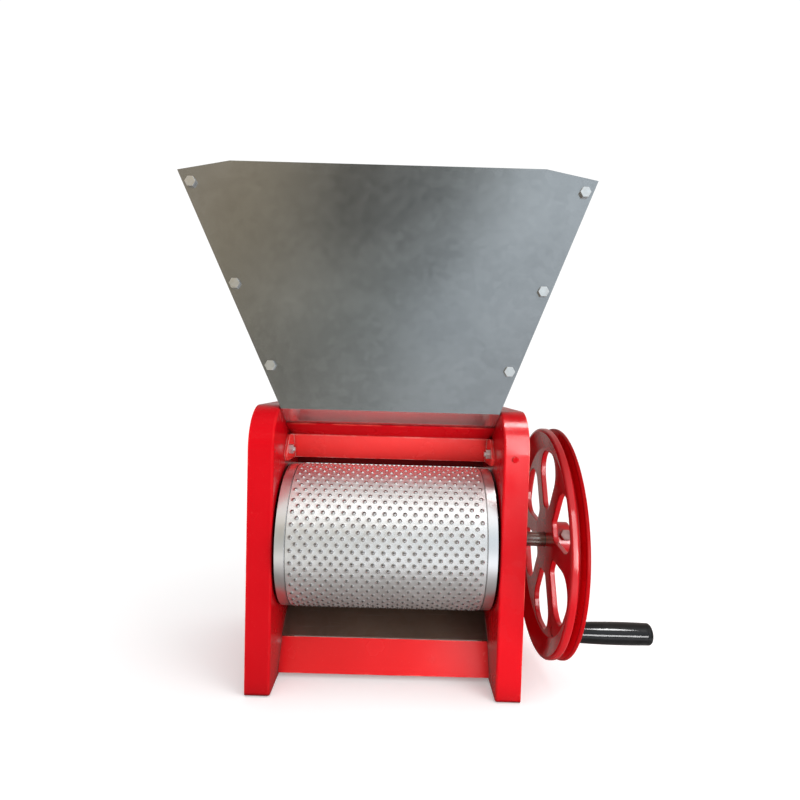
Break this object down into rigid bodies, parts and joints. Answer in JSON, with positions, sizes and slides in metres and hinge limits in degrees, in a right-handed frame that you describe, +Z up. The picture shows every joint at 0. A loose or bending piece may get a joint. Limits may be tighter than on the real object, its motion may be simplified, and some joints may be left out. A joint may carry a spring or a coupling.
{
  "type": "hand-cranked coffee pulper",
  "caption": "Table-top coffee pulper: sheet hopper over a bumped drum in a red folded-plate frame, turned by a grooved hand wheel with a crank grip; screws set the breast gap.",
  "frame": {"origin": "on the floor, under the middle of the whole machine's bounding box", "axes": "+X along the drum towards the crank, +Y from the drum's open front to the breast, +Z up"},
  "size_m": [0.5094, 0.3108, 0.5489],
  "materials": {
    "red_paint": "gloss red paint on folded sheet steel",
    "wheel_paint": "gloss red paint on cast iron",
    "galvanised_sheet": "blotchy galvanised sheet steel",
    "drum_steel": "bright punched sheet steel",
    "drum_casting": "turned cast aluminium",
    "shaft_steel": "oily dark bar steel",
    "housing_iron": "bare cast iron",
    "bush_bronze": "oiled bronze",
    "zinc_hardware": "bright zinc plate",
    "breast_steel": "plain rolled steel",
    "breast_rubber": "black rubber",
    "black_grip": "gloss black moulding"
  },
  "bodies": {
    "frame": {"left_side_plate": "red_paint", "right_side_plate": "red_paint", "post_rivet": "red_paint", "upper_front_bar": "red_paint", "lower_front_plate": "red_paint", "lower_rear_plate": "red_paint", "chute_sheet": "galvanised_sheet", "rear_cross_bar": "red_paint", "throat_front_plate": "red_paint", "throat_rear_plate": "red_paint", "frame_bolts": "zinc_hardware", "frame_nuts": "zinc_hardware", "left_bearing_housing": "housing_iron", "right_bearing_housing": "housing_iron", "left_bearing_bush": "bush_bronze", "right_bearing_bush": "bush_bronze", "bearing_screws": "zinc_hardware", "bearing_nuts": "zinc_hardware", "hopper_front_panel": "galvanised_sheet", "hopper_rear_panel": "galvanised_sheet", "hopper_left_panel": "galvanised_sheet", "hopper_right_panel": "galvanised_sheet", "hopper_bolts": "zinc_hardware", "hopper_nuts": "zinc_hardware", "hopper_mount_bolts": "zinc_hardware", "hopper_mount_nuts": "zinc_hardware"},
    "drum": {"drum_sheet": "drum_steel", "drum_left_end": "drum_casting", "drum_right_end": "drum_casting", "drum_shaft": "shaft_steel", "drum_set_screws": "zinc_hardware", "hand_wheel": "wheel_paint", "wheel_set_screw": "zinc_hardware", "crank_pin": "shaft_steel", "crank_nut": "zinc_hardware"},
    "grip": {"handle_grip": "black_grip", "grip_cap": "black_grip"},
    "breast": {"breast_holder": "breast_steel", "breast_pad": "breast_rubber"},
    "left_adjuster": {"left_adjuster_screw": "zinc_hardware", "left_adjuster_collar": "zinc_hardware"},
    "right_adjuster": {"right_adjuster_screw": "zinc_hardware", "right_adjuster_collar": "zinc_hardware"}
  },
  "joints": [
    {"name": "drum_spin", "type": "hinge", "parent": "frame", "child": "drum", "pos_m": [-0.0287, -0.02941, 0.1515], "axis": [1, 0, 0], "continuous": true},
    {"name": "grip_spin", "type": "hinge", "parent": "drum", "child": "grip", "pos_m": [0.2213, -0.07434, 0.06445], "axis": [1, 0, 0], "continuous": true},
    {"name": "left_adjuster_turn", "type": "hinge", "parent": "frame", "child": "left_adjuster", "pos_m": [-0.0987, 0.09059, 0.1535], "axis": [0, -1, 0], "range_deg": [-480, 720]},
    {"name": "right_adjuster_turn", "type": "hinge", "parent": "frame", "child": "right_adjuster", "pos_m": [0.0413, 0.09059, 0.1535], "axis": [0, -1, 0], "range_deg": [-480, 720]},
    {"name": "breast_adjust", "type": "slide", "parent": "frame", "child": "breast", "axis": [0, 1, 0], "range_m": [-0.002, 0.003]}
  ],
  "couplings": [
    {"joint": "left_adjuster_turn", "follows": "breast_adjust", "rad_per_m": 4188.8},
    {"joint": "right_adjuster_turn", "follows": "breast_adjust", "rad_per_m": 4188.8}
  ]
}
